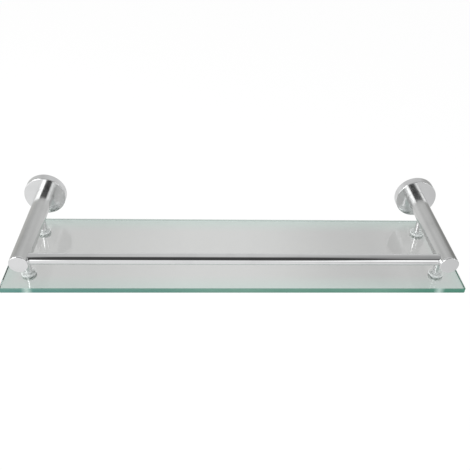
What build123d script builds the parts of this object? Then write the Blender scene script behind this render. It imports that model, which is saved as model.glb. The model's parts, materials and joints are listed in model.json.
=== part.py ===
"""Wall-mounted glass shelf with a guard rail, built as an assembly of separate pieces.

Frame: millimetres, +Z up, +Y towards the wall, X along the shelf. The origin lies on the wall
plane, half way between the two arms, at the height of the arm axes: it is the centre of the
four wall screw holes. The room side of the shelf is at negative Y.
"""
import math
import os

from build123d import *

# ------------------------------------------------------------------ driving dimensions
# Glass pane
GLASS_WIDTH = 500.0
GLASS_DEPTH = 130.0
GLASS_THICK = 6.0
GLASS_CORNER = 4.0          # corner radius in plan
GLASS_ARRIS = 0.5           # ground edge
GLASS_HOLE = 10.0           # drilled hole for a sleeve
WALL_GAP = 10.0             # air between the wall and the back edge of the glass

# Arms
ARM_INSET = 26.0            # arm axis in from the side edge of the glass
ARM_OD = 20.0
ARM_WALL = 3.5
ARM_TO_GLASS = 32.0         # arm axis above the top face of the glass

# Covers at the wall
CUP_OD = 48.0
CUP_DEPTH = 10.0
CUP_RIM = 2.5
CUP_FRONT = 3.5
CUP_EDGE = 0.8              # rounded outer edge
CUP_SOCKET = 1.5            # how deep the arm sits in the front of the cup

# Wall plate
PLATE_HOLE_SPACING = 30.0   # vertical distance between its two wall screws
PLATE_HOLE = 5.2
PLATE_SINK = 10.4           # countersink diameter for the wall screw head
PLATE_GROOVE = 2.4          # width of the V groove round the rim; its sides are at 45 degrees

# Guard rail
RAIL_OD = 12.0
RAIL_WALL = 1.0
RAIL_SETBACK = 10.5         # rail axis behind the front end of the arms

# Posts between the arms and the glass
POST_OD = 8.0
POST_FRONT_INSET = 26.0     # front post behind the front edge of the glass
POST_PITCH = 77.0           # front post to rear post

# Clear washers and sleeve at each glass hole
WASHER_OD = 16.0
WASHER_THICK = 2.0
WASHER_EDGE = 0.5           # rounding of the edge away from the glass

# Screws
SCREW_M = 5.0               # glass screw
SCREW_HEAD_OD = 9.5
SCREW_HEAD_HIGH = 2.75
SCREW_HEAD_EDGE = 1.6       # rounding that makes the head a low dome
SCREW_HEX = 3.0             # across flats
SCREW_HEX_DEEP = 2.0
SCREW_PROUD = 1.5           # how far its tip stands inside the bore of the arm
TIP_CHAMFER = 0.8
ROOT_M = 6.0                # screw that holds an arm in its cup
ROOT_HEAD_OD = 11.0
ROOT_HEAD_HIGH = 3.2
ROOT_HEAD_EDGE = 0.5
ROOT_SCREW_LONG = 11.0
ROOT_HEX = 4.0
ROOT_HEX_DEEP = 2.2
GRUB_M = 4.0
GRUB_HEX = 2.0
GRUB_HEX_DEEP = 1.4
GRUB_RECESS = 0.3           # its outer end lies below the outside of the cup
GRUB_POINT = 0.5            # radius of the flat at the end of its cone

# End caps and root plugs
CAP_THICK = 2.5
CAP_EDGE = 0.8
CAP_SPIGOT = 3.6
PLUG_LONG = 14.0

# Fits, as clearance on the radius
SLIDE = 0.10                # parts pushed together by hand
PRESS = 0.02                # pressed or glued plugs
THREAD = 0.05               # a thread drawn as a plain cylinder
SHAKE = 0.30                # loose clearance between the cup and the wall plate

# ------------------------------------------------------------------ derived positions
ARM_X = GLASS_WIDTH / 2 - ARM_INSET
ARM_R = ARM_OD / 2
ARM_BORE_R = ARM_R - ARM_WALL
FRONT_Y = -(WALL_GAP + GLASS_DEPTH)             # front edge of the glass and front end of the arms
BACK_Y = -WALL_GAP
ARM_ROOT_Y = -(CUP_DEPTH - CUP_SOCKET)          # wall end of the arm tube
ARM_TIP_Y = FRONT_Y + CAP_THICK                 # room end of the arm tube
GLASS_TOP = -ARM_TO_GLASS
GLASS_MID = GLASS_TOP - GLASS_THICK / 2
WASHER_UP = GLASS_TOP + WASHER_THICK            # top face of the upper washer
WASHER_LOW = GLASS_TOP - GLASS_THICK - WASHER_THICK
RAIL_Y = FRONT_Y + RAIL_SETBACK
RAIL_R = RAIL_OD / 2
POST_Y = (FRONT_Y + POST_FRONT_INSET, FRONT_Y + POST_FRONT_INSET + POST_PITCH)
SCREW_R = SCREW_M / 2
SLEEVE_R = GLASS_HOLE / 2 - SLIDE
CUP_R = CUP_OD / 2
CUP_IN_R = CUP_R - CUP_RIM
CUP_CAVITY = CUP_DEPTH - CUP_FRONT              # depth of the hollow at the back of the cup
PLATE_R = CUP_IN_R - SHAKE
PLATE_THICK = CUP_CAVITY - SHAKE
PLATE_CENTRE_R = ROOT_HEAD_OD / 2 + SHAKE       # hole that clears the head of the root screw
GROOVE_DEEP = PLATE_GROOVE / 2
GROOVE_Y = -PLATE_THICK / 2
GRUB_TIP_R = PLATE_R - GROOVE_DEEP + GRUB_POINT + THREAD    # its cone lies in the groove
GRUB_OUT_R = CUP_R - GRUB_RECESS
HEX_TO_R = 1 / math.sqrt(3)                     # across flats to corner radius

SIDES = {"left": -1, "right": 1}
POSTS = [(name, side * ARM_X, y) for name, side, y in (
    ("front_left", -1, POST_Y[0]), ("rear_left", -1, POST_Y[1]),
    ("front_right", 1, POST_Y[0]), ("rear_right", 1, POST_Y[1]))]

os.makedirs("parts", exist_ok=True)


def wall_plane(x, y):
    """Plane across an arm at depth y, facing the room, with its own y axis up."""
    return Plane(origin=(x, y, 0), x_dir=(1, 0, 0), z_dir=(0, -1, 0))


def save(builder, name):
    """Label the finished piece and write its STEP file."""
    builder.part.label = name
    export_step(builder.part, f"parts/{name}.step")


# ------------------------------------------------------------------ glass pane
with BuildPart() as glass_shelf:
    with BuildSketch(Plane.XY.offset(GLASS_TOP - GLASS_THICK)):
        with Locations((0, (FRONT_Y + BACK_Y) / 2)):
            RectangleRounded(GLASS_WIDTH, GLASS_DEPTH, GLASS_CORNER)
        with Locations(*[(x, y) for _, x, y in POSTS]):
            Circle(GLASS_HOLE / 2, mode=Mode.SUBTRACT)
    extrude(amount=GLASS_THICK)
    top = glass_shelf.faces().sort_by(Axis.Z)[-1]
    bottom = glass_shelf.faces().sort_by(Axis.Z)[0]
    chamfer(top.outer_wire().edges() + bottom.outer_wire().edges(), GLASS_ARRIS)
save(glass_shelf, "glass_shelf")

# ------------------------------------------------------------------ guard rail
with BuildPart() as guard_rail:
    with BuildSketch(Plane.YZ.offset(-ARM_X)):
        with Locations((RAIL_Y, 0)):
            Circle(RAIL_R)
            Circle(RAIL_R - RAIL_WALL, mode=Mode.SUBTRACT)
    extrude(amount=2 * ARM_X)
    # each end is coped to the bore of its arm, so nothing stands in the bore
    for side in SIDES.values():
        with BuildSketch(wall_plane(side * ARM_X, ARM_ROOT_Y)):
            Circle(ARM_BORE_R)
        extrude(amount=abs(FRONT_Y), mode=Mode.SUBTRACT)
save(guard_rail, "guard_rail")

# ------------------------------------------------------------------ one side of the shelf
for side_name, side in SIDES.items():
    x = side * ARM_X

    # Arm: thick-walled tube, side hole for the rail, tapped holes for the glass screws
    with BuildPart() as arm_tube:
        with BuildSketch(wall_plane(x, ARM_ROOT_Y)):
            Circle(ARM_R)
            Circle(ARM_BORE_R, mode=Mode.SUBTRACT)
        extrude(amount=ARM_ROOT_Y - ARM_TIP_Y)
        with BuildSketch(Plane.YZ.offset(x)):
            with Locations((RAIL_Y, 0)):
                Circle(RAIL_R + SLIDE)
        extrude(amount=-side * ARM_R, mode=Mode.SUBTRACT)
        with BuildSketch(Plane.XY):
            with Locations(*[(x, y) for y in POST_Y]):
                Circle(SCREW_R + THREAD)
        extrude(amount=-ARM_R, mode=Mode.SUBTRACT)
    save(arm_tube, f"arm_tube_{side_name}")

    # End cap: turned disc with a rounded edge and a spigot glued into the tube
    with BuildPart() as arm_end_cap:
        with BuildSketch(wall_plane(x, ARM_TIP_Y)):
            Circle(ARM_R)
        extrude(amount=CAP_THICK)
        fillet(arm_end_cap.faces().sort_by(Axis.Y)[0].edges(), CAP_EDGE)
        with BuildSketch(wall_plane(x, ARM_TIP_Y + CAP_SPIGOT)):
            Circle(ARM_BORE_R - PRESS)
        extrude(amount=CAP_SPIGOT)
    save(arm_end_cap, f"arm_end_cap_{side_name}")

    # Root plug: turned brass slug pressed into the wall end of the tube and tapped
    with BuildPart() as arm_root_plug:
        with BuildSketch(wall_plane(x, ARM_ROOT_Y)):
            Circle(ARM_BORE_R - PRESS)
            Circle(ROOT_M / 2 + THREAD, mode=Mode.SUBTRACT)
        extrude(amount=PLUG_LONG)
        chamfer(arm_root_plug.faces().sort_by(Axis.Y)[0].outer_wire().edges(), CAP_EDGE)
    save(arm_root_plug, f"arm_root_plug_{side_name}")

    # Cup: covers the wall plate and carries the arm in a shallow socket in its front
    with BuildPart() as flange_cup:
        with BuildSketch(wall_plane(x, 0)):
            Circle(CUP_R)
        extrude(amount=CUP_DEPTH)
        fillet(flange_cup.faces().sort_by(Axis.Y)[0].edges(), CUP_EDGE)
        with BuildSketch(wall_plane(x, 0)):
            Circle(CUP_IN_R)
        extrude(amount=CUP_CAVITY, mode=Mode.SUBTRACT)
        with BuildSketch(wall_plane(x, ARM_ROOT_Y)):
            Circle(ARM_R + SLIDE)
        extrude(amount=CUP_SOCKET, mode=Mode.SUBTRACT)
        with BuildSketch(wall_plane(x, -CUP_CAVITY)):
            Circle(ROOT_M / 2 + SLIDE)
        extrude(amount=CUP_FRONT, mode=Mode.SUBTRACT)
        with BuildSketch(Plane.XY):
            with Locations((x, GROOVE_Y)):
                Circle(GRUB_M / 2 + THREAD)
        extrude(amount=-CUP_R, mode=Mode.SUBTRACT)
    save(flange_cup, f"flange_cup_{side_name}")

    # Wall plate: disc with two countersunk wall holes and a V groove round its rim
    with BuildPart() as wall_plate:
        with BuildSketch(wall_plane(x, 0)):
            Circle(PLATE_R)
            Circle(PLATE_CENTRE_R, mode=Mode.SUBTRACT)
        extrude(amount=PLATE_THICK)
        with BuildSketch(Plane.YZ.offset(x)):
            with BuildLine():
                Polyline((GROOVE_Y - PLATE_GROOVE / 2, PLATE_R), (GROOVE_Y, PLATE_R - GROOVE_DEEP),
                         (GROOVE_Y + PLATE_GROOVE / 2, PLATE_R), (GROOVE_Y, PLATE_R + SHAKE),
                         close=True)
            make_face()
        revolve(axis=Axis((x, 0, 0), (0, 1, 0)), mode=Mode.SUBTRACT)
        with Locations(wall_plane(x, -PLATE_THICK)):
            with Locations((0, PLATE_HOLE_SPACING / 2), (0, -PLATE_HOLE_SPACING / 2)):
                CounterSinkHole(PLATE_HOLE / 2, PLATE_SINK / 2, depth=PLATE_THICK)
    save(wall_plate, f"wall_plate_{side_name}")


def turned_screw(origin, z_dir, profile, edge, hex_flats, hex_deep):
    """Screw revolved about its axis, with a hexagon socket sunk from one end.

    Args:
        origin: point where the axis starts.
        z_dir: direction of the axis, from the socket end to the point.
        profile: (radius, height) points up one side, from the axis back to the axis.
        edge: rounding of the rim at the socket end, or 0 for a sharp rim.
        hex_flats: socket size across flats.
        hex_deep: socket depth.
    """
    base = Plane(origin=origin, z_dir=z_dir)
    side_plane = Plane(origin=origin, x_dir=base.x_dir, z_dir=-base.y_dir)
    with BuildPart(mode=Mode.PRIVATE) as screw:
        with BuildSketch(side_plane):
            with BuildLine():
                Polyline(*profile, close=True)
            make_face()
        revolve(axis=Axis(origin, z_dir))
        if edge:
            fillet(screw.faces().sort_by(Axis(origin, z_dir))[0].edges(), edge)
        with BuildSketch(base):
            RegularPolygon(hex_flats * HEX_TO_R, 6)
        extrude(amount=hex_deep, mode=Mode.SUBTRACT)
    return screw.part


# ------------------------------------------------------------------ screws that hold the arms
ROOT_TIP = ROOT_HEAD_HIGH + ROOT_SCREW_LONG
ROOT_PROFILE = [(0, 0), (ROOT_HEAD_OD / 2, 0), (ROOT_HEAD_OD / 2, ROOT_HEAD_HIGH),
                (ROOT_M / 2, ROOT_HEAD_HIGH), (ROOT_M / 2, ROOT_TIP - TIP_CHAMFER),
                (ROOT_M / 2 - TIP_CHAMFER, ROOT_TIP), (0, ROOT_TIP)]
with BuildPart() as arm_root_screws:
    for side in SIDES.values():
        add(turned_screw((side * ARM_X, ROOT_HEAD_HIGH - CUP_CAVITY, 0), (0, -1, 0),
                         ROOT_PROFILE, ROOT_HEAD_EDGE, ROOT_HEX, ROOT_HEX_DEEP))
save(arm_root_screws, "arm_root_screws")

# Cone-point grub screws under the cups, biting in the groove of the wall plates
GRUB_LONG = GRUB_OUT_R - GRUB_TIP_R
GRUB_CONE = GRUB_M / 2 - GRUB_POINT
GRUB_PROFILE = [(0, 0), (GRUB_M / 2, 0), (GRUB_M / 2, GRUB_LONG - GRUB_CONE),
                (GRUB_POINT, GRUB_LONG), (0, GRUB_LONG)]
with BuildPart() as flange_grub_screws:
    for side in SIDES.values():
        add(turned_screw((side * ARM_X, GROOVE_Y, -GRUB_OUT_R), (0, 0, 1), GRUB_PROFILE,
                         0, GRUB_HEX, GRUB_HEX_DEEP))
save(flange_grub_screws, "flange_grub_screws")

# ------------------------------------------------------------------ posts, coped to the arms
for name, x, y in POSTS:
    with BuildPart() as post:
        with BuildSketch(Plane.XY.offset(WASHER_UP)):
            with Locations((x, y)):
                Circle(POST_OD / 2)
                Circle(SCREW_R + SLIDE, mode=Mode.SUBTRACT)
        extrude(amount=-WASHER_UP)
        with BuildSketch(wall_plane(x, y + POST_OD)):
            Circle(ARM_R)
        extrude(amount=2 * POST_OD, mode=Mode.SUBTRACT)
    save(post, f"post_{name}")

# ------------------------------------------------------------------ clear washers and sleeves
for node, low, high in (("upper_washers", GLASS_TOP, WASHER_UP),
                        ("lower_washers", WASHER_LOW, GLASS_TOP - GLASS_THICK)):
    with BuildPart() as washers:
        with BuildSketch(Plane.XY.offset(low)):
            for _, x, y in POSTS:
                with Locations((x, y)):
                    Circle(WASHER_OD / 2)
                    Circle(SCREW_R + SLIDE, mode=Mode.SUBTRACT)
        extrude(amount=high - low)
        # the edge away from the glass is rounded
        away = Axis.Z if node == "upper_washers" else -Axis.Z
        face_set = washers.faces().sort_by(away)[-len(POSTS):]
        fillet([e for f in face_set for e in f.outer_wire().edges()], WASHER_EDGE)
    save(washers, node)

with BuildPart() as glass_sleeves:
    with BuildSketch(Plane.XY.offset(GLASS_TOP - GLASS_THICK)):
        for _, x, y in POSTS:
            with Locations((x, y)):
                Circle(SLEEVE_R)
                Circle(SCREW_R + SLIDE, mode=Mode.SUBTRACT)
    extrude(amount=GLASS_THICK)
save(glass_sleeves, "glass_sleeves")

# ------------------------------------------------------------------ glass screws, from below
SCREW_TIP = SCREW_HEAD_HIGH - WASHER_LOW - ARM_BORE_R + SCREW_PROUD
SCREW_PROFILE = [(0, 0), (SCREW_HEAD_OD / 2, 0), (SCREW_HEAD_OD / 2, SCREW_HEAD_HIGH),
                 (SCREW_R, SCREW_HEAD_HIGH), (SCREW_R, SCREW_TIP - TIP_CHAMFER),
                 (SCREW_R - TIP_CHAMFER, SCREW_TIP), (0, SCREW_TIP)]
with BuildPart() as glass_screws:
    for _, x, y in POSTS:
        add(turned_screw((x, y, WASHER_LOW - SCREW_HEAD_HIGH), (0, 0, 1), SCREW_PROFILE,
                         SCREW_HEAD_EDGE, SCREW_HEX, SCREW_HEX_DEEP))
save(glass_screws, "glass_screws")
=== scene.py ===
"""Wall-mounted glass shelf with a guard rail: the pieces as they are made, dressed and lit."""
import json
import logging
import math
from collections.abc import Callable
from dataclasses import dataclass
from enum import Enum

import bmesh
import bpy
from bpy.types import Material, NodeSocket
from mathutils import Matrix, Vector


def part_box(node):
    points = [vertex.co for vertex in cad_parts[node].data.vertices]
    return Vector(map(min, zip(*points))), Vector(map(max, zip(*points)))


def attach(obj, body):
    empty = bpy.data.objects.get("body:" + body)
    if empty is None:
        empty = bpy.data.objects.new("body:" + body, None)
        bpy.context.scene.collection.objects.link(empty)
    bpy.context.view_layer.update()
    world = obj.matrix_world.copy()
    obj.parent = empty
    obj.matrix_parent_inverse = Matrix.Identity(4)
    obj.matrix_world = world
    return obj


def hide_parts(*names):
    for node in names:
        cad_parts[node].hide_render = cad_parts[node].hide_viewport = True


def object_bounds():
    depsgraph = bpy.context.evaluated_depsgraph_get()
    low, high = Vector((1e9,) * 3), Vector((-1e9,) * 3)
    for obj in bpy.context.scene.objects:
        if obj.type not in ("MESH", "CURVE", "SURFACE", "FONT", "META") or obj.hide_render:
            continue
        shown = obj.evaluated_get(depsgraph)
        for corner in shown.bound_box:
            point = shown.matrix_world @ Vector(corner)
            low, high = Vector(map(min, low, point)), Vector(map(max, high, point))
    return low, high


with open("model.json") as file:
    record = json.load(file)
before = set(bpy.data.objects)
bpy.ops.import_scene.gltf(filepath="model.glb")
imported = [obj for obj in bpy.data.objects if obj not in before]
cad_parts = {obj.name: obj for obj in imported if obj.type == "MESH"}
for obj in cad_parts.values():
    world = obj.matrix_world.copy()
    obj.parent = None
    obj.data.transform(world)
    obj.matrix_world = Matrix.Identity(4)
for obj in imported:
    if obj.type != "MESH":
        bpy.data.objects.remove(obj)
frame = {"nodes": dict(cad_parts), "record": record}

LOG = logging.getLogger("glass_shelf")
MM = 0.001
CAD_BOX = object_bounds()
NEAR = 0.02 * MM             # how close a point counts as being in a place
PANE = "glass_shelf"         # the CAD node of the pane


class Side(Enum):
    """The two ends of the shelf, as seen from the room."""

    LEFT = "left"
    RIGHT = "right"

    @property
    def sign(self) -> int:
        """-1 on the left and 1 on the right."""
        return -1 if self is Side.LEFT else 1


class Row(Enum):
    """The two posts under each arm."""

    FRONT = "front"
    REAR = "rear"


class Finish(Enum):
    """The finishes: the record's material slots, and variants of them for some pieces."""

    CHROME = "polished_chrome"
    FLANGE = "polished_flange"
    SATIN = "satin_chrome"
    GLASS = "clear_glass"
    PLASTIC = "clear_plastic"
    # a whiter, cloudier plastic for the rounded rims of the upper washers: a painted highlight
    RIM = "clear_plastic_rim"
    SLEEVE = "milky_plastic"
    STEEL = "plated_steel"
    BRASS = "brass"


class GlassZone(Enum):
    """Where on the pane a face lies, as its place in the pane's material slots."""

    FACE = 0
    EDGE = 1
    ARRIS = 2
    HOLE = 3


Finishes = dict[Finish | GlassZone, Material]


class Nodes:
    """The node tree of a material or world, with short ways to add and join nodes."""

    def __init__(self, owner: Material | bpy.types.World) -> None:
        """Empties the tree of a new material or world.

        Args:
            owner: the material or world.
        """
        owner.use_nodes = True
        self.owner = owner
        self.tree = owner.node_tree
        self.tree.nodes.clear()
        kind = "World" if isinstance(owner, bpy.types.World) else "Material"
        self.output = self.tree.nodes.new("ShaderNodeOutput" + kind)

    def add(self, kind: str, **settings: object) -> bpy.types.Node:
        """Adds a node.

        Args:
            kind: the node's type, without the ShaderNode prefix.
            settings: attributes of the node, or its sockets named with underscores for spaces.

        Returns:
            The new node.
        """
        node = self.tree.nodes.new("ShaderNode" + kind)
        for key, value in settings.items():
            if hasattr(node, key):
                setattr(node, key, value)
            else:
                self.give(value, node.inputs[key.replace("_", " ")])
        return node

    def give(self, value: NodeSocket | float | tuple, target: NodeSocket) -> None:
        """Joins a socket to an input, or sets the input to a constant.

        Args:
            value: the socket, or a number, vector or opaque colour.
            target: the input that gets it.
        """
        if isinstance(value, NodeSocket):
            self.tree.links.new(value, target)
        else:
            target.default_value = (*value, 1) if target.type == "RGBA" else value

    def surface(self, shader: bpy.types.Node) -> Material | bpy.types.World:
        """Ends the tree with a shader, and gives back the finished material or world."""
        self.give(shader.outputs[0], self.output.inputs["Surface"])
        return self.owner

    def axes(self, vector: NodeSocket | None = None) -> tuple[NodeSocket, ...]:
        """The X, Y and Z of a vector, or of the point in Object coordinates."""
        vector = vector or self.add("TexCoord").outputs["Object"]
        return tuple(self.add("SeparateXYZ", Vector=vector).outputs)

    def noise(self, scale: float, detail: float = 2.0, stretch: tuple = (1, 1, 1)) -> NodeSocket:
        """Noise with scale lumps to a metre; stretch below 1 makes the grain longer on an axis."""
        mapping = self.add("Mapping", Scale=stretch, Vector=self.add("TexCoord").outputs["Object"])
        return self.add("TexNoise", Scale=scale, Detail=detail, Vector=mapping.outputs[0]).outputs["Fac"]

    def spread(self, value: NodeSocket, low: float, high: float,
               start: float = 0.3, end: float = 0.7) -> NodeSocket:
        """Turns start into low and end into high, and clamps there; noise mostly lies in 0.3 to 0.7."""
        return self.add("MapRange", Value=value, From_Min=start, From_Max=end,
                        To_Min=low, To_Max=high).outputs["Result"]

    def math(self, operation: str, first: NodeSocket | float, second: NodeSocket | float = 0.0,
             clamp: bool = False) -> NodeSocket:
        """Adds a sum, product or other operation on numbers.

        Args:
            operation: Blender's name of it.
            first: the first number.
            second: the second number, where the operation takes two.
            clamp: keeps the result within 0 and 1.

        Returns:
            The result's socket.
        """
        node = self.add("Math", operation=operation, use_clamp=clamp)
        self.give(first, node.inputs[0])
        self.give(second, node.inputs[1])
        return node.outputs[0]

    def apart(self, value: NodeSocket, point: float = 0.0) -> NodeSocket:
        """How far a value lies from a point, on either side."""
        return self.math("ABSOLUTE", self.math("SUBTRACT", value, point))

    def blend(self, share: NodeSocket, first: NodeSocket | tuple, second: NodeSocket | tuple,
              kind: str = "MIX") -> NodeSocket:
        """Blends two colours by a kind that Blender names, with a share of the second."""
        return self.add("MixRGB", blend_type=kind, Fac=share, Color1=first,
                        Color2=second).outputs["Color"]

    def mix(self, share: NodeSocket, first: bpy.types.Node, second: bpy.types.Node) -> bpy.types.Node:
        """Mixes two shaders.

        Args:
            share: how much there is of the second.
            first: the first shader.
            second: the second shader.

        Returns:
            The mixed shader's node.
        """
        node = self.add("MixShader")
        for source, target in zip((share, first.outputs[0], second.outputs[0]), node.inputs):
            self.give(source, target)
        return node

    def bump(self, height: NodeSocket, strength: float, deep: float) -> NodeSocket:
        """Turns a height of 0 to 1 into a normal, where 1 stands for deep metres."""
        return self.add("Bump", Strength=strength, Distance=deep, Height=height).outputs["Normal"]

    def along(self, place: NodeSocket, colour: tuple, left: tuple, right: tuple) -> NodeSocket:
        """Lets a colour change towards the two ends of the shelf.

        Args:
            place: the X of the point.
            colour: the colour at the middle.
            left: what it is multiplied by at the left end.
            right: the same for the right end.

        Returns:
            The colour's socket.
        """
        low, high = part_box(PANE)
        ramp = self.add("ValToRGB", Fac=self.spread(place, 0.0, 1.0, low.x, high.x))
        stops = ramp.color_ramp.elements
        stops.new(0.5)
        for stop, by in zip(stops, (left, (1, 1, 1), right)):
            stop.color = (*(c * f for c, f in zip(colour, by)), 1)
        return ramp.outputs["Color"]

    def rays(self, *kinds: str) -> NodeSocket:
        """Says whether a ray is of some kinds.

        Args:
            kinds: names of Light Path outputs.

        Returns:
            A socket that is 1 for any of them.
        """
        path = self.add("LightPath")
        total = path.outputs[kinds[0]]
        for kind in kinds[1:]:
            total = self.math("MAXIMUM", total, path.outputs[kind])
        return total


class Workpiece:
    """One object on the bench: a primitive that is shaped with Blender's own operators."""

    def __init__(self, name: str) -> None:
        """Clears the bench for a new piece.

        Args:
            name: the piece's name.
        """
        if bpy.context.object and bpy.context.object.mode != "OBJECT":
            bpy.ops.object.mode_set(mode="OBJECT")
        bpy.ops.object.select_all(action="DESELECT")
        self.name = name
        self.object: bpy.types.Object | None = None
        self.start = Vector()
        self.axis = Vector((0, 0, 1))
        self.sides = 4

    def bar(self, radius: float, start: Vector, end: Vector, sides: int = 96) -> "Workpiece":
        """Adds a round or faceted bar.

        Args:
            radius: its radius, to the corners.
            start: centre of its first end, where heights are measured from.
            end: centre of its other end.
            sides: how many sides it has.

        Returns:
            The workpiece itself.
        """
        along = end - start
        self.start, self.axis, self.sides = start, along.normalized(), sides
        bpy.ops.mesh.primitive_cylinder_add(
            vertices=sides, radius=radius, depth=along.length, end_fill_type="NGON",
            location=(start + end) / 2, rotation=along.to_track_quat("Z", "Y").to_euler())
        return self.take()

    def block(self, low: Vector, high: Vector) -> "Workpiece":
        """Adds a block.

        Args:
            low: its lowest corner.
            high: its highest corner.

        Returns:
            The workpiece itself.
        """
        self.start = Vector(((low.x + high.x) / 2, (low.y + high.y) / 2, low.z))
        bpy.ops.mesh.primitive_cube_add(size=1, location=(low + high) / 2, scale=high - low)
        return self.take()

    def take(self) -> "Workpiece":
        """Names the new object and moves its place into its mesh.

        Returns:
            The workpiece itself.
        """
        self.object = bpy.context.object
        self.object.name = self.object.data.name = self.name
        bpy.ops.object.transform_apply(location=True, rotation=True, scale=True)
        return self

    def rest(self) -> None:
        """Leaves edit mode and selects this piece alone."""
        bpy.context.view_layer.objects.active = self.object
        if self.object.mode != "OBJECT":
            bpy.ops.object.mode_set(mode="OBJECT")
        bpy.ops.object.select_all(action="DESELECT")
        self.object.select_set(True)

    def copy(self, name: str, shift: Vector) -> "Workpiece":
        """Copies the piece, with a mesh of its own.

        Args:
            name: the copy's name.
            shift: how far it lies from this piece.

        Returns:
            The copy.
        """
        twin = Workpiece(name)
        twin.start, twin.axis, twin.sides = self.start + shift, self.axis, self.sides
        self.rest()
        bpy.ops.object.duplicate()
        bpy.ops.transform.translate(value=shift)
        return twin.take()

    def set_out(self, places: dict[str, Vector]) -> list["Workpiece"]:
        """Copies the piece to every place, by the name it gets there; its own place is among them."""
        return [self if name == self.name else self.copy(name, place - places[self.name])
                for name, place in places.items()]

    def height(self, point: Vector) -> float:
        """How far up the axis a point lies."""
        return (point - self.start).dot(self.axis)

    def radius(self, point: Vector) -> float:
        """How far from the axis a point lies."""
        return (point - self.start - self.axis * self.height(point)).length

    def pick(self, kind: str, test: Callable) -> None:
        """Selects parts of the mesh in edit mode.

        Args:
            kind: EDGE or FACE.
            test: says of a BMesh element whether it is wanted.
        """
        bpy.context.view_layer.objects.active = self.object
        if self.object.mode != "EDIT":
            bpy.ops.object.mode_set(mode="EDIT")
        bpy.ops.mesh.select_mode(type=kind)
        bpy.ops.mesh.select_all(action="DESELECT")
        mesh = bmesh.from_edit_mesh(self.object.data)
        for element in mesh.edges if kind == "EDGE" else mesh.faces:
            if test(element):
                element.select_set(True)
        bmesh.update_edit_mesh(self.object.data)

    def at_ring(self, height: float, radius: float | None = None) -> Callable:
        """Makes a test for an edge or face with every corner at a height.

        Args:
            height: the height along the axis.
            radius: how far from the axis the corners lie, or None for any distance.

        Returns:
            The test, for pick.
        """
        def test(element: bmesh.types.BMEdge | bmesh.types.BMFace) -> bool:
            """Whether every corner of an edge or face lies there."""
            return all(abs(self.height(v.co) - height) < NEAR
                       and (radius is None or abs(self.radius(v.co) - radius) < NEAR)
                       for v in element.verts)
        return test

    def round_rim(self, height: float, radius: float, by: float, steps: int = 8) -> None:
        """Takes an amount off the rim at a height and radius, in some steps across the rounding."""
        self.pick("EDGE", self.at_ring(height, radius))
        bpy.ops.mesh.bevel(offset=by, segments=steps, affect="EDGES", profile=0.5)

    def shoulder(self, height: float, outer: float, inner: float, move: float = 0.0) -> None:
        """Insets an end face to a smaller circle, and raises or sinks that circle.

        Args:
            height: the end face's height.
            outer: its radius now.
            inner: radius of the new circle.
            move: how far the new circle goes up the axis, or 0 to leave it.
        """
        self.pick("FACE", self.at_ring(height, outer))
        bpy.ops.mesh.inset(thickness=(outer - inner) * math.cos(math.pi / self.sides))
        if move:
            bpy.ops.mesh.extrude_region_move(TRANSFORM_OT_translate={"value": self.axis * move})

    def through(self, *ends: tuple) -> None:
        """Joins two inset circles into a hole.

        Args:
            ends: (height, radius) of each circle.
        """
        tests = [self.at_ring(height, radius) for height, radius in ends]
        self.pick("FACE", lambda f: any(test(f) for test in tests))
        bpy.ops.mesh.delete(type="ONLY_FACE")
        self.pick("EDGE", lambda e: e.is_boundary)
        bpy.ops.mesh.bridge_edge_loops()

    def bored(self, bore: float, *ends: tuple) -> None:
        """Bores a hole from one flat end to the other.

        Args:
            bore: the hole's radius.
            ends: (height, radius) of the face at each end.
        """
        for height, radius in ends:
            self.shoulder(height, radius, bore)
        self.through(*((height, bore) for height, _ in ends))

    def cut(self, *tools: "Workpiece") -> None:
        """Cuts other workpieces out of this one and uses them up.

        Args:
            tools: the workpieces that are cut out.
        """
        for tool in tools:
            self.rest()
            change = self.object.modifiers.new("cut", "BOOLEAN")
            change.operation, change.solver, change.object = "DIFFERENCE", "EXACT", tool.object
            bpy.ops.object.modifier_apply(modifier=change.name)
            bpy.data.objects.remove(tool.object)

    def finish(self, slot: Finish, material: Material, node: str, angle: float = 38.0) -> None:
        """Smooths the piece, dresses it and puts it in the place of its CAD node.

        Args:
            slot: the record's material slot; not used.
            material: the finish it gets, where none of its faces has one yet.
            node: the CAD node that it stands for.
            angle: edges sharper than this many degrees stay crisp.
        """
        self.rest()
        bpy.ops.object.shade_smooth_by_angle(angle=math.radians(angle))
        even = self.object.modifiers.new("even", "WEIGHTED_NORMAL")
        even.keep_sharp = True
        bpy.ops.object.modifier_apply(modifier=even.name)
        if not self.object.data.materials:
            self.object.data.materials.append(material)
        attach(self.object, "root")
        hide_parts(node)
        LOG.info("%s stands for %s", self.name, node)


@dataclass(frozen=True)
class PolishedMetal:
    """A turned and polished metal: bright plate, or bare metal as it comes off the lathe."""

    name: str
    colour: tuple
    smooth: float = 0.03        # roughness of the clean plate
    wiped: float = 0.07         # roughness where it has been wiped
    ripple: float = 0.02        # strength of the waviness of the plate
    smudge: float = 0.93        # what a smudge multiplies the colour by
    smudged: tuple = (0.45, 0.75)       # noise at which smudges set in and are full
    smudges: float = 55.0       # smudges, wipes and waves, each to a metre
    wipes: float = 90.0
    waves: float = 160.0
    wave_deep: float = 0.4 * MM

    def make(self) -> Material:
        """Builds the material.

        Returns:
            The material.
        """
        n = Nodes(bpy.data.materials.new(self.name))
        smudged = n.spread(n.noise(self.smudges, detail=5.0), 0.0, 1.0, *self.smudged)
        dull = tuple(self.smudge * c for c in self.colour)
        wiped = n.noise(self.wipes, detail=4.0, stretch=(1, 0.25, 1))
        return n.surface(n.add(
            "BsdfPrincipled", Metallic=1.0, Base_Color=n.blend(smudged, self.colour, dull),
            Roughness=n.spread(wiped, self.smooth, self.wiped),
            Normal=n.bump(n.noise(self.waves), self.ripple, self.wave_deep)))


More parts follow.
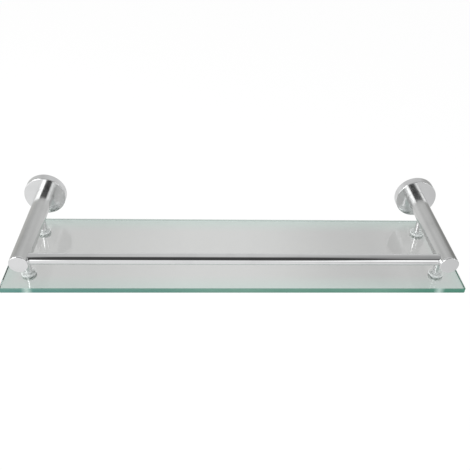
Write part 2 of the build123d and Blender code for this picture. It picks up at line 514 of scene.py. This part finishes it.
@dataclass(frozen=True)
class FloatGlass:
    """Clear float glass, seen through its large faces: light grey, with a painted reflection of its edges
    as green near them, painted shadow towards the right and painted shade towards both ends.
    """

    name: str
    middle: tuple = (0.632, 0.637, 0.630)
    # painted reflection: green laid near the edges of the pane, standing for the edges seen from within
    # it
    painted_edge_green: tuple = (0.575, 0.665, 0.630)
    painted_edge_green_deep: float = 0.024          # how far in from the edges the green reaches
    # painted shadow: the pane darker towards the right, eased off close to the right-hand arm
    right_shadow: float = 0.90            # what the middle is multiplied by towards the right
    right_shadow_at: tuple = (0.01, 0.12)     # the X between which that sets in
    right_shadow_eased: float = 0.965            # the same close to the right-hand arm
    right_shadow_eased_at: tuple = (0.165, 0.205)
    # painted shade: the pane darker towards both ends of the shelf
    aside: float = 0.89                 # what the pane is multiplied by towards both ends
    end_shade_at: tuple = (0.05, 0.16)
    in_shadow: tuple = (0.86, 0.90, 0.88)   # what it lets through of the light of the lamps
    index: float = 1.52
    ripple: float = 0.012               # strength of the rolling waves
    waves: float = 22.0                 # waves to a metre
    wave_deep: float = 0.4 * MM

    def make(self) -> Material:
        """Builds the material.

        Returns:
            The material.
        """
        n = Nodes(bpy.data.materials.new(self.name))
        x, y, _ = n.axes()
        low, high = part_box(PANE)
        # painted reflection of the edges: how close the point lies to an edge of the pane
        near = []
        for value, first, last in ((x, low.x, high.x), (y, low.y, high.y)):
            half = (last - first) / 2
            off = n.apart(value, (first + last) / 2)
            near.append(n.spread(off, 0.0, 1.0, half - self.painted_edge_green_deep, half))
        # painted shadow towards the right, eased close to the right-hand arm
        shadow_to_right = n.spread(x, 1.0, self.right_shadow, *self.right_shadow_at)
        shadow_eased_at_arm = n.spread(x, 1.0, self.right_shadow_eased / self.right_shadow, *self.right_shadow_eased_at)
        painted_shadow = n.math("MULTIPLY", shadow_to_right, shadow_eased_at_arm)
        clear = n.add("VectorMath", operation="SCALE", Vector=self.middle, Scale=painted_shadow)
        tint = n.blend(n.math("MAXIMUM", *near), clear.outputs[0], self.painted_edge_green)
        # painted shade towards both ends
        end_shade = n.spread(n.apart(x), 0.0, 1.0, *self.end_shade_at)
        glass = n.add("BsdfPrincipled", Roughness=0.0, IOR=self.index, Transmission_Weight=1.0,
                      Base_Color=n.blend(end_shade, tint, (self.aside,) * 3, "MULTIPLY"),
                      Normal=n.bump(n.noise(self.waves), self.ripple, self.wave_deep))
        # what lies under the pane is lit through it
        open_way = n.add("BsdfTransparent", Color=self.in_shadow)
        return n.surface(n.mix(n.rays("Is Shadow Ray"), glass, open_way))


@dataclass(frozen=True)
class GroundEdge:
    """Polished edge of float glass: the green that the pane gathers, with fine grinding lines, a painted
    highlight on its upper part, painted shade towards the right-hand end and a painted glow by the holes.
    """

    name: str
    deep: tuple = (0.090, 0.225, 0.175)     # the green of the lower part of the edge
    # the brighter green is a painted highlight on the upper part of the edge, and random drifts elsewhere
    bright: tuple = (0.25, 0.42, 0.345)     # what is mixed in higher up and here and there
    # painted shade: the edge darker towards the ends of the shelf, most at the right-hand end
    left: tuple = (0.80, 0.95, 1.08)        # what the two ends of the shelf multiply deep by
    right: tuple = (0.48, 0.86, 0.76)
    # painted highlight: the edge is brighter green above this height
    level: float = -33.5 * MM               # height where the brighter green begins
    level_soft: float = 1.2 * MM
    above: float = 0.3                      # share of the brighter green above that
    drift: tuple = (-0.12, 0.22)            # what its drifts take from that share and add to it
    glow: tuple = (0.38, 0.51, 0.47)        # light from the drilled holes behind the edge
    glow_share: float = 0.95                # how much of it there is at its middle
    glow_in: float = 3 * MM                 # how far in from the arm's axis the glow lies
    glow_wide: tuple = (0.5 * MM, 6.5 * MM)     # where it starts to fade and where it ends
    inner: tuple = (0.70, 0.84, 0.79)       # the clear edge, met from inside the pane
    # painted shade: a dark diffuse green on the right-hand end, where it is met from within the pane
    end: tuple = (0.10, 0.25, 0.19)         # the right-hand end, which shows dark from within
    end_shade_share: float = 0.75
    end_shade_near: tuple = (1.5 * MM, 0.5 * MM)  # how far from that end it sets in and is full
    index: float = 1.52
    outer_index: float = 1.5                # of the ground surface, met from outside
    rough: tuple = (0.18, 0.34)             # roughness between its streaks and in them
    drifts: float = 9.0                     # drifts of the green, streaks and lines, each to a metre
    streaks: float = 900.0
    lines: float = 2500.0
    line_strong: float = 0.04
    line_deep: float = 0.1 * MM

    def make(self) -> Material:
        """Builds the material.

        Returns:
            The material.
        """
        n = Nodes(bpy.data.materials.new(self.name))
        x, _, z = n.axes()
        soft = self.level_soft
        # painted highlight on the upper part of the edge, with random drifts of the green
        up = n.spread(z, 0.0, self.above, self.level - soft, self.level + soft)
        drift = n.spread(n.noise(self.drifts, stretch=(1, 0.3, 0.1)), *self.drift)
        green = n.blend(n.math("ADD", up, drift, clamp=True),
                        n.along(x, self.deep, self.left, self.right), self.bright)
        off = n.apart(n.apart(x), arm_axis(Side.RIGHT) - self.glow_in)
        glow = n.spread(off, self.glow_share, 0.0, *self.glow_wide)
        streaked = n.spread(n.noise(self.streaks, stretch=(0.02, 0.02, 1)), *self.rough)
        lines = n.noise(self.lines, stretch=(0.01, 0.01, 1))
        outside = n.add("BsdfPrincipled", IOR=self.outer_index, Roughness=streaked,
                        Base_Color=n.blend(glow, green, self.glow),
                        Normal=n.bump(lines, self.line_strong, self.line_deep))
        clear = n.add("BsdfPrincipled", Roughness=0.0, IOR=self.index, Transmission_Weight=1.0,
                      Base_Color=self.inner)
        # painted shade on the right-hand end, seen from within the pane
        end_shade_mask = n.spread(x, 0.0, self.end_shade_share, *(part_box(PANE)[1].x - near for near in self.end_shade_near))
        inside = n.mix(end_shade_mask, clear, n.add("BsdfDiffuse", Color=self.end))
        from_within = n.add("NewGeometry").outputs["Backfacing"]
        return n.surface(n.mix(from_within, outside, inside))


@dataclass(frozen=True)
class ClearPlastic:
    """Clear moulded plastic of the washers and sleeves, a little cloudy."""

    name: str
    body: float                     # how much of it is cloud rather than clear
    colour: tuple = (0.90, 0.92, 0.92)
    uneven: float = 0.15            # share by which the cloud is thinner or thicker in places
    within: float = 0.15            # what is left of the cloud on a surface seen from within
    rough: tuple = (0.10, 0.24)     # roughness between dull spots and in them
    index: float = 1.46
    clouds: float = 350.0           # clouds and dull spots, each to a metre
    spots: float = 700.0

    def make(self) -> Material:
        """Builds the material.

        Returns:
            The material.
        """
        n = Nodes(bpy.data.materials.new(self.name))
        thin, thick = (self.body * (1 + by) for by in (-self.uneven, self.uneven))
        cloud = n.spread(n.noise(self.clouds, detail=3.0), thin, thick)
        behind = n.add("NewGeometry").outputs["Backfacing"]
        return n.surface(n.add(
            "BsdfPrincipled", IOR=self.index, Base_Color=self.colour,
            Roughness=n.spread(n.noise(self.spots, detail=3.0), *self.rough),
            Alpha=n.math("MULTIPLY", cloud, n.spread(behind, 1.0, self.within, 0.0, 1.0))))


@dataclass
class SubAssembly:
    """Some pieces of the shelf that are made and dressed together."""

    finishes: Finishes          # materials by Finish or GlassZone


@dataclass(kw_only=True)
class GlassPane(SubAssembly):
    """The pane, with rounded corners, ground arrises and a hole for each sleeve."""

    corner: float = 1.5 * MM
    arris: float = 0.5 * MM
    hole: float = 5 * MM
    upright: float = 0.1        # most that the normal of an upright face points up or down
    flat: float = 0.9           # least that it does in a flat face

    def build(self) -> None:
        """Models the pane and dresses its faces, edges and arrises."""
        low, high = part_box(PANE)
        pane = Workpiece("pane").block(low, high)
        pane.pick("EDGE", lambda e: abs(e.verts[0].co.z - e.verts[1].co.z) > NEAR)
        bpy.ops.mesh.bevel(offset=self.corner, segments=8, affect="EDGES", profile=0.5)
        flat = [pane.at_ring(0.0), pane.at_ring(high.z - low.z)]
        pane.pick("EDGE", lambda e: any(test(e) for test in flat))
        bpy.ops.mesh.bevel(offset=self.arris, segments=1, affect="EDGES")
        for place in hole_places("drill").values():
            below, above = (place + Vector((0, 0, z)) for z in (low.z - self.hole, high.z + self.hole))
            pane.cut(Workpiece("drill").bar(self.hole, below, above, sides=64))
        mesh = pane.object.data
        for key in (Finish.GLASS, GlassZone.EDGE, GlassZone.ARRIS, GlassZone.HOLE):
            mesh.materials.append(self.finishes[key])
        for face in mesh.polygons:
            face.material_index = self.zone(face, low, high).value
        pane.finish(Finish.GLASS, self.finishes[Finish.GLASS], PANE, angle=30)

    def zone(self, face: bpy.types.MeshPolygon, low: Vector, high: Vector) -> GlassZone:
        """Tells where on the pane a face lies.

        Args:
            face: the face.
            low: the pane's lowest corner.
            high: its highest corner.

        Returns:
            The zone.
        """
        at, tilt = face.center, abs(face.normal.z)
        at_border = min(abs(at.x - low.x), abs(at.x - high.x),
                        abs(at.y - low.y), abs(at.y - high.y)) < self.corner
        if tilt < self.upright:
            return GlassZone.EDGE if at_border else GlassZone.HOLE
        return GlassZone.ARRIS if at_border and tilt < self.flat else GlassZone.FACE


@dataclass(kw_only=True)
class Rail(SubAssembly):
    """The guard rail, a tube whose ends are coped to the bore of the arms."""

    wall: float = 1 * MM
    arm_bore: float = 6.5 * MM

    def build(self) -> None:
        """Models and dresses the rail."""
        low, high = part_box("guard_rail")
        radius = (high.z - low.z) / 2
        centre = middle("guard_rail")
        left, right = (Vector((arm_axis(side), centre.y, centre.z)) for side in Side)
        rail = Workpiece("rail").bar(radius, left, right)
        rail.bored(radius - self.wall, (0.0, radius), ((right - left).length, radius))
        reach = Vector((0, 4 * radius, 0))
        for end in (left, right):
            rail.cut(Workpiece("cope").bar(self.arm_bore, end - reach, end + reach))
        rail.finish(Finish.CHROME, self.finishes[Finish.CHROME], "guard_rail")


@dataclass(kw_only=True)
class Arms(SubAssembly):
    """The arms: tubes with a cross hole for the rail, and caps glued into their front ends."""

    bore: float = 6.5 * MM
    rail_hole: float = 6.1 * MM
    tapped: float = 2.55 * MM
    joint: float = 0.18 * MM    # broken edge on each side of the joint at the cap
    cap_edge: float = 0.8 * MM
    spigot: float = 3.6 * MM
    fit: float = 0.02 * MM

    def tubes(self) -> None:
        """Models a tube, copies it for the other side, and drills and dresses both."""
        radius, back, front = across_arm("arm_tube_left")
        long = (front - back).length
        tube = Workpiece("arm_tube_left").bar(radius, back, front, sides=128)
        for height in (0.0, long):
            tube.round_rim(height, radius, self.joint, steps=2)
        tube.bored(self.bore, (0.0, radius - self.joint), (long, radius - self.joint))
        for side, copy in zip(Side, tube.set_out(arm_places("arm_tube"))):
            cross = Vector((arm_axis(side), middle("guard_rail").y, back.z))
            inward = Vector((-side.sign * 2 * radius, 0, 0))
            copy.cut(Workpiece("cross_drill").bar(self.rail_hole, cross, cross + inward))
            for place in hole_places("tap_drill", side).values():
                start = place + Vector((0, 0, back.z))
                down = Vector((0, 0, -2 * radius))
                copy.cut(Workpiece("tap_drill").bar(self.tapped, start, start + down, sides=48))
            copy.finish(Finish.CHROME, self.finishes[Finish.SATIN], copy.name)

    def caps(self) -> None:
        """Models and dresses the caps: turned discs with a rounded rim and a spigot behind."""
        radius, back, front = across_arm("arm_end_cap_left")
        back.y -= self.spigot
        cap = Workpiece("arm_end_cap_left").bar(radius, back, front, sides=128)
        cap.round_rim((front - back).length, radius, self.cap_edge)
        cap.round_rim(0.0, radius, self.joint, steps=2)
        cap.shoulder(0.0, radius - self.joint, self.bore - self.fit, -self.spigot)
        for copy in cap.set_out(arm_places("arm_end_cap")):
            copy.finish(Finish.CHROME, self.finishes[Finish.CHROME], copy.name)

    def build(self) -> None:
        """Builds the tubes and their caps."""
        self.tubes()
        self.caps()


@dataclass(kw_only=True)
class WallFlanges(SubAssembly):
    """The cups that hide the wall plates and carry the arms in shallow sockets."""

    edge: float = 0.8 * MM
    back_edge: float = 0.15 * MM
    socket: float = 10.1 * MM
    socket_deep: float = 1.5 * MM
    screw_hole: float = 3.1 * MM
    rim: float = 2.5 * MM
    front: float = 3.5 * MM
    grub_hole: float = 2.05 * MM

    def build(self) -> None:
        """Models and dresses the cups."""
        radius, back, front = across_arm("flange_cup_left")
        deep = (front - back).length
        floor, cavity = deep - self.socket_deep, deep - self.front
        cup = Workpiece("flange_cup_left").bar(radius, back, front, sides=160)
        cup.round_rim(deep, radius, self.edge, steps=10)
        cup.round_rim(0.0, radius, self.back_edge, steps=1)
        cup.shoulder(deep, radius - self.edge, self.socket, -self.socket_deep)
        cup.shoulder(floor, self.socket, self.screw_hole)
        cup.shoulder(0.0, radius - self.back_edge, radius - self.rim, cavity)
        cup.shoulder(cavity, radius - self.rim, self.screw_hole)
        cup.through((floor, self.screw_hole), (cavity, self.screw_hole))
        grub = Vector((back.x, middle("flange_grub_screws").y, back.z))
        down = Vector((0, 0, -2 * radius))
        cup.cut(Workpiece("grub_drill").bar(self.grub_hole, grub, grub + down, sides=48))
        for copy in cup.set_out(arm_places("flange_cup")):
            copy.finish(Finish.CHROME, self.finishes[Finish.FLANGE], copy.name)


@dataclass(kw_only=True)
class GlassMounts(SubAssembly):
    """What holds the pane at its holes: posts, clear washers above and below, and screws."""

    bore: float = 2.6 * MM
    foot: float = 0.25 * MM     # broken edge at the foot of the post
    washer_edge: float = 0.5 * MM
    arm_radius: float = 10 * MM
    seat: float = 0.03 * MM     # air film between washer or sleeve and glass
    head_high: float = 2.75 * MM
    head_edge: float = 1.6 * MM
    shank: float = 2.5 * MM
    tip: float = 0.8 * MM
    hex_flats: float = 3 * MM
    hex_deep: float = 2 * MM
    sides: int = 64

    def turned(self, stem: str, node: str, start: float, end: float) -> tuple[Workpiece, float]:
        """Starts a round piece at the first hole of the pane.

        Args:
            stem: the piece's name without row and side.
            node: the CAD node that gives its radius.
            start: height of its first end.
            end: height of its other end.

        Returns:
            The workpiece and its radius.
        """
        name, place = next(iter(hole_places(stem).items()))
        low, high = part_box(node)
        # a node with a solid at every hole spans the shelf, and one with a single solid doesn't
        radius = (high.x - low.x) / 2 - abs(place.x - middle(node).x)
        bar = Workpiece(name).bar(radius, place + Vector((0, 0, start)), place + Vector((0, 0, end)),
                                  self.sides)
        return bar, radius

    def posts(self) -> None:
        """Models and dresses the posts, coped to the underside of the arms."""
        first, place = next(iter(hole_places("post").items()))
        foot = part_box(first)[0].z
        post, radius = self.turned("post", first, foot, 0.0)
        post.round_rim(0.0, radius, self.foot, steps=2)
        post.bored(self.bore, (0.0, radius - self.foot), (-foot, radius))
        reach = Vector((0, 2 * radius, 0))
        post.cut(Workpiece("cope").bar(self.arm_radius, place - reach, place + reach, sides=128))
        for copy in post.set_out(hole_places("post")):
            copy.finish(Finish.CHROME, self.finishes[Finish.CHROME], copy.name)

    def washers(self, node: str) -> None:
        """Models and dresses washers, rounded on the side away from the glass.

        Args:
            node: the CAD node of the washers, upper or lower.
        """
        low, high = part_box(node)
        upper = low.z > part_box(PANE)[0].z
        start, end = (low.z + self.seat, high.z) if upper else (high.z - self.seat, low.z)
        washer, radius = self.turned(node, node, start, end)
        thick = abs(end - start)
        washer.round_rim(thick, radius, self.washer_edge, steps=4)
        washer.bored(self.bore, (0.0, radius), (thick, radius - self.washer_edge))
        if upper:
            washer.rest()
            # painted highlight: the rounded rim of each upper washer gets a whiter, cloudier plastic than
            # its body
            lit_rim_finishes = [Finish.PLASTIC, Finish.RIM]
            for finish in lit_rim_finishes:
                washer.object.data.materials.append(self.finishes[finish])
            for face in washer.object.data.polygons:
                if washer.radius(face.center) > radius - 2 * self.washer_edge:
                    face.material_index = lit_rim_finishes.index(Finish.RIM)
        for copy in washer.set_out(hole_places(node)):
            copy.finish(Finish.PLASTIC, self.finishes[Finish.SLEEVE], node)

    def sleeves(self) -> None:
        """Models and dresses the sleeves that keep the screws off the glass."""
        node = "glass_sleeves"
        low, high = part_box(node)
        start, end = low.z + self.seat, high.z - self.seat
        sleeve, radius = self.turned("glass_sleeve", node, start, end)
        sleeve.bored(self.bore, (0.0, radius), (end - start, radius))
        for copy in sleeve.set_out(hole_places("glass_sleeve")):
            copy.finish(Finish.PLASTIC, self.finishes[Finish.SLEEVE], node)

    def screws(self) -> None:
        """Models and dresses the screws: a domed head below, with a hexagon socket in it."""
        node = "glass_screws"
        low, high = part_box(node)
        screw, radius = self.turned("glass_screw", node, low.z, low.z + self.head_high)
        screw.round_rim(0.0, radius, self.head_edge)
        screw.shoulder(self.head_high, radius, self.shank, high.z - low.z - self.head_high)
        screw.round_rim(high.z - low.z, self.shank, self.tip, steps=1)
        deep = Vector((0, 0, self.hex_deep))
        corner = self.hex_flats / math.sqrt(3)
        screw.cut(Workpiece("hex_tool").bar(corner, screw.start - deep, screw.start + deep, sides=6))
        for copy in screw.set_out(hole_places("glass_screw")):
            copy.finish(Finish.STEEL, self.finishes[Finish.STEEL], node)

    def build(self) -> None:
        """Builds the posts, the washers, the sleeves and the screws."""
        self.posts()
        self.washers("upper_washers")
        self.washers("lower_washers")
        self.sleeves()
        self.screws()


def middle(node: str) -> Vector:
    """The centre of the box round a CAD node."""
    low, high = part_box(node)
    return (low + high) / 2


def arm_axis(side: Side) -> float:
    """The X of an arm's axis."""
    return middle(f"arm_tube_{side.value}").x


def across_arm(node: str) -> tuple[float, Vector, Vector]:
    """Measures a round piece that lies along an arm.

    Args:
        node: its CAD node.

    Returns:
        Its radius, and the centres of its end at the wall and its end in the room.
    """
    low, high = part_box(node)
    x, _, z = middle(node)
    return (high.x - low.x) / 2, Vector((x, high.y, z)), Vector((x, low.y, z))


def arm_places(stem: str) -> dict[str, Vector]:
    """A point on each arm's axis, by the name there of a piece that both arms have."""
    return {f"{stem}_{side.value}": Vector((arm_axis(side), 0, 0)) for side in Side}


def hole_places(stem: str, *sides: Side) -> dict[str, Vector]:
    """Gives the places of a piece that each hole of the pane has one of.

    Args:
        stem: the piece's name without row and side.
        sides: the arms wanted, or none for both.

    Returns:
        A point on each hole's axis at the height of the arms, by the piece's name there.
    """
    places = {}
    for side in sides or Side:
        for row in Row:
            centre = middle(f"post_{row.value}_{side.value}")
            places[f"{stem}_{row.value}_{side.value}"] = Vector((centre.x, centre.y, 0))
    return places


def dress_nodes(finishes: Finishes) -> None:
    """Gives every CAD node its finish, for those that no piece replaces.

    Args:
        finishes: materials by Finish.
    """
    for part in frame["record"]["subparts"]:
        node = frame["nodes"][part["node"]]
        node.data.materials.clear()
        node.data.materials.append(finishes[Finish(part["material_slot"])])
        LOG.info("dressed %s in %s", node.name, part["material_slot"])


@dataclass(frozen=True)
class Lamp:
    """A soft lamp to one side of the room."""

    side: Side
    wide: float
    watts: float                # for each metre of its width
    high: float = 0.8
    place: tuple = (1.52, -0.56, 1.18)      # for the right side

    def build(self) -> None:
        """Hangs the lamp and turns it to the shelf."""
        data = bpy.data.lights.new(f"lamp_{self.side.value}", "AREA")
        data.shape = "RECTANGLE"
        data.size, data.size_y = self.wide, self.high
        data.energy = self.watts * self.wide
        lamp = bpy.data.objects.new(data.name, data)
        bpy.context.scene.collection.objects.link(lamp)
        out, ahead, up = self.place
        lamp.location = (self.side.sign * out, ahead, up)
        lamp.rotation_mode = "QUATERNION"
        lamp.rotation_quaternion = (-Vector(lamp.location)).to_track_quat("-Z", "Y")


@dataclass(frozen=True)
class SideWall:
    """What metal reflects to one side of the dark ceiling panel.

    Its levels are (degrees, grey) pairs over the top of the room: 0 is the front horizon, 90 is
    overhead and 180 is the back horizon.
    """

    side: Side
    levels: tuple
    reach: float                # where it begins in front, as a share of the shell's radius
    rounded: float              # how much the dark panel's end is rounded on this side
    outer: float                # what it is multiplied by behind, beyond the end of the shelf


@dataclass(frozen=True)
class ReflectionShell:
    """Soft boxes and a dark ceiling panel round the shelf, seen only by polished surfaces."""

    radius: float = 2.0
    ahead: float = 0.95         # how far its centre lies in front of the wall
    middle: tuple = ((-180, 0.66), (-150, 0.66), (-20, 0.8), (6, 0.85), (16, 0.055), (64, 0.055),
                     (82, 0.56), (120, 0.60), (145, 0.58), (165, 0.64), (180, 0.66))
    walls: tuple = (
        SideWall(Side.LEFT, ((-180, 0.72), (-150, 0.66), (-20, 0.9), (8, 1.5), (45, 1.5), (72, 0.45),
                             (110, 0.46), (145, 0.48), (165, 0.66), (180, 0.72)),
                 reach=0.38, rounded=0.06, outer=0.70),
        SideWall(Side.RIGHT, ((-180, 0.66), (-150, 0.60), (-20, 0.8), (8, 1.1), (20, 1.1),
                              (28, 0.10), (42, 0.10), (56, 0.30), (85, 0.32), (110, 0.36),
                              (150, 0.54), (165, 0.62), (180, 0.66)),
                 reach=0.35, rounded=0.12, outer=0.40))
    soft: float = 0.07          # width of the blend to the side walls in front
    reach_behind: float = 0.10  # the same two widths behind, where the bright panel is narrow
    soft_behind: float = 0.40
    horizon: float = 0.1        # half the width of the blend from front to behind
    panel_middle: float = 40.0  # degrees over the top at which the dark panel is widest
    panel_half: float = 24.0    # degrees from there to where its end is rounded by one step
    most_steps: float = 2.0
    fall: tuple = (0.55, 0.78)  # where the light falls off behind, beyond the ends of the shelf
    warm: float = 0.97          # share of blue that is left there

    def ramp(self, n: Nodes, turn: NodeSocket, levels: tuple) -> NodeSocket:
        """Lays grey levels over the top of the room.

        Args:
            n: the tree that gets the nodes.
            turn: the angle, with -180 to 180 degrees as 0 to 1.
            levels: (degrees, grey) from the lowest angle up.

        Returns:
            The colour's socket.
        """
        ramp = n.add("ValToRGB", Fac=turn)
        stops = ramp.color_ramp
        stops.interpolation = "EASE"
        stops.elements.remove(stops.elements[-1])
        for i, (degrees, grey) in enumerate(levels):
            at = (degrees + 180) / 360
            stop = stops.elements[0] if i == 0 else stops.elements.new(at)
            stop.position = at
            stop.color = (grey, grey, grey, 1)
        return ramp.outputs["Color"]

    def make(self) -> Material:
        """Builds the shell's material.

        Returns:
            The material.
        """
        n = Nodes(bpy.data.materials.new("reflection_shell"))
        place = n.add("TexCoord").outputs["Object"]
        x, y, z = n.axes(n.add("VectorMath", operation="NORMALIZE", Vector=place).outputs[0])
        over = n.math("ARCTAN2", z, n.math("MULTIPLY", y, -1.0))
        turn = n.spread(over, 0.0, 1.0, -math.pi, math.pi)
        ahead = n.spread(y, 1.0, 0.0, -self.horizon, self.horizon)
        behind = n.math("SUBTRACT", 1.0, ahead)
        off = n.math("SUBTRACT", turn, (self.panel_middle + 180) / 360)
        high = n.math("MULTIPLY", off, 360 / self.panel_half)
        steps = n.math("MINIMUM", n.math("MULTIPLY", high, high), self.most_steps)
        colour = self.ramp(n, turn, self.middle)
        for wall in self.walls:
            aside = n.math("MULTIPLY", x, float(wall.side.sign))
            bow = n.math("MULTIPLY", n.math("MULTIPLY", steps, wall.rounded), ahead)
            reach = n.spread(ahead, self.reach_behind, wall.reach, 0.0, 1.0)
            past = n.math("SUBTRACT", n.math("ADD", aside, bow), reach)
            soft = n.spread(ahead, self.soft_behind, self.soft, 0.0, 1.0)
            share = n.math("DIVIDE", past, soft, clamp=True)
            colour = n.blend(share, colour, self.ramp(n, turn, wall.levels))
            beyond = n.math("MULTIPLY", n.spread(aside, 0.0, 1.0, *self.fall), behind)
            dim = (wall.outer, wall.outer, self.warm * wall.outer)
            colour = n.blend(beyond, colour, dim, "MULTIPLY")
        return n.surface(n.add("Emission", Color=colour, Strength=1.0))

    def build(self) -> None:
        """Builds the shell."""
        bench = Workpiece("reflection_shell")
        bpy.ops.mesh.primitive_uv_sphere_add(segments=48, ring_count=24, radius=self.radius,
                                             location=(0, -self.ahead, 0))
        dome = bench.take().object
        dome.data.materials.append(self.make())
        for kind in ("camera", "diffuse", "transmission", "volume_scatter", "shadow"):
            setattr(dome, f"visible_{kind}", False)


@dataclass(frozen=True)
class Floor:
    """A wide pale floor well below the shelf: white, and greyer in mirrors away from the front."""

    drop: float = 0.45
    wide: float = 40.0
    grey: float = 0.92
    own_light: float = 0.85     # share of it that is plain white rather than lit
    behind_glass: float = 0.80  # its level in metal that is seen through the glass
    front: tuple = (0.68, 0.64, -0.55, 0.1)     # level in mirrors: front and back, and their Y
    across: tuple = (1.0, 0.50, 0.2, 0.9)       # what multiplies that: inner and right, and their X

    def make(self) -> Material:
        """Builds the floor's material.

        Returns:
            The material.
        """
        n = Nodes(bpy.data.materials.new("floor"))
        x, y, _ = n.axes()
        shade = n.math("MULTIPLY", n.spread(y, *self.front), n.spread(x, *self.across))
        path = n.add("LightPath")
        glossy = path.outputs["Glossy Depth"]
        # bare metal sees the shaded floor, the camera and the glass see it white
        mirror = n.math("SUBTRACT", glossy, path.outputs["Transmission Depth"], clamp=True)
        seen = n.add("Mix", data_type="FLOAT", Factor=mirror, B=shade,
                     A=n.spread(glossy, 1.0, self.behind_glass, 0.0, 1.0))
        white = n.add("Emission", Strength=seen.outputs["Result"])
        share = n.math("MULTIPLY", n.rays("Is Camera Ray", "Is Glossy Ray", "Is Transmission Ray"),
                       self.own_light)
        return n.surface(n.mix(share, n.add("BsdfDiffuse", Color=(self.grey,) * 3), white))

    def build(self) -> None:
        """Lays the floor."""
        bench = Workpiece("floor")
        bpy.ops.mesh.primitive_plane_add(size=self.wide, location=(0, 0, CAD_BOX[0].z - self.drop))
        floor = bench.take().object
        floor.data.materials.append(self.make())


@dataclass(frozen=True)
class Viewpoint:
    """The camera, turned and rolled to face the shelf from above its front."""

    azimuth: float = 3.4
    elevation: float = 36.1
    roll: float = 2.26
    distance: float = 0.7398
    aim: tuple = (0.0021, -0.0427, -0.032)
    lens: float = 47.45         # in mm, as is the sensor's width
    sensor: float = 36.0

    def build(self) -> None:
        """Sets the camera up."""
        az, el, roll = map(math.radians, (self.azimuth, self.elevation, self.roll))
        ahead = Vector((math.sin(az) * math.cos(el), math.cos(az) * math.cos(el), -math.sin(el)))
        level = Vector((math.cos(az), -math.sin(az), 0))
        up = level.cross(ahead)
        right = level * math.cos(roll) + up * math.sin(roll)
        above = up * math.cos(roll) - level * math.sin(roll)
        turn = Matrix((right, above, -ahead)).transposed().to_4x4()
        data = bpy.data.cameras.new("camera")
        data.lens, data.sensor_width = self.lens, self.sensor
        data.clip_start, data.clip_end = 0.01, 100
        camera = bpy.data.objects.new("camera", data)
        bpy.context.scene.collection.objects.link(camera)
        camera.matrix_world = Matrix.Translation(Vector(self.aim) - ahead * self.distance) @ turn
        bpy.context.scene.camera = camera


@dataclass
class Studio:
    """The white room: world, floor, what the metal reflects, lamps and camera."""

    sky: float = 0.93           # strength of the world as a light
    floor: Floor = Floor()
    shell: ReflectionShell = ReflectionShell()
    lamps: tuple = (Lamp(Side.LEFT, wide=2.2, watts=11.5), Lamp(Side.RIGHT, wide=0.7, watts=7.5))
    viewpoint: Viewpoint = Viewpoint()

    def world(self) -> None:
        """A white world: full white to the camera, mirrors and glass, softer as a light."""
        n = Nodes(bpy.data.worlds.new("white_room"))
        seen = n.rays("Is Camera Ray", "Is Glossy Ray", "Is Transmission Ray")
        strength = n.spread(seen, self.sky, 1.0, 0.0, 1.0)
        bpy.context.scene.world = n.surface(n.add("Background", Color=(1, 1, 1), Strength=strength))

    def build(self) -> None:
        """Builds the whole studio."""
        bpy.context.scene.view_settings.view_transform = "Standard"
        self.world()
        self.floor.build()
        self.shell.build()
        for lamp in self.lamps:
            lamp.build()
        self.viewpoint.build()


def mix_finishes() -> Finishes:
    """Makes every material of the shelf.

    Returns:
        The materials, by Finish or GlassZone.
    """
    plate = (0.90, 0.905, 0.91)
    return {
        Finish.CHROME: PolishedMetal("polished_chrome", plate).make(),
        Finish.FLANGE: PolishedMetal("polished_flange", plate, smooth=0.09, wiped=0.13).make(),
        Finish.SATIN: PolishedMetal("satin_chrome", (0.78, 0.785, 0.78), smooth=0.18, wiped=0.23).make(),
        Finish.GLASS: FloatGlass("clear_glass").make(),
        GlassZone.EDGE: GroundEdge("glass_edge").make(),
        GlassZone.ARRIS: GroundEdge("glass_arris", deep=(0.050, 0.160, 0.118),
                                    bright=(0.10, 0.24, 0.185)).make(),
        GlassZone.HOLE: ClearPlastic("glass_hole", body=0.12).make(),
        Finish.PLASTIC: ClearPlastic("clear_plastic", 0.40, (0.70, 0.73, 0.72)).make(),
        # painted highlight on the rims of the upper washers
        Finish.RIM: ClearPlastic("clear_plastic_rim", 0.66, (0.86, 0.89, 0.89)).make(),
        Finish.SLEEVE: ClearPlastic("milky_plastic", 0.76, (0.80, 0.83, 0.82)).make(),
        Finish.STEEL: PolishedMetal("plated_steel", (0.74, 0.74, 0.75), smooth=0.25, wiped=0.4,
                                    ripple=0.05).make(),
        Finish.BRASS: PolishedMetal("brass", (0.74, 0.56, 0.28), smooth=0.2, wiped=0.35,
                                    ripple=0.05).make(),
    }


def main() -> None:
    """Models and dresses the pieces, and builds the studio round them."""
    logging.basicConfig(level=logging.INFO, format="%(name)s: %(message)s")
    finishes = mix_finishes()
    dress_nodes(finishes)
    for sub_assembly in (GlassPane, Rail, Arms, WallFlanges, GlassMounts):
        sub_assembly(finishes=finishes).build()
    Studio().build()


if __name__ == "__main__":
    main()
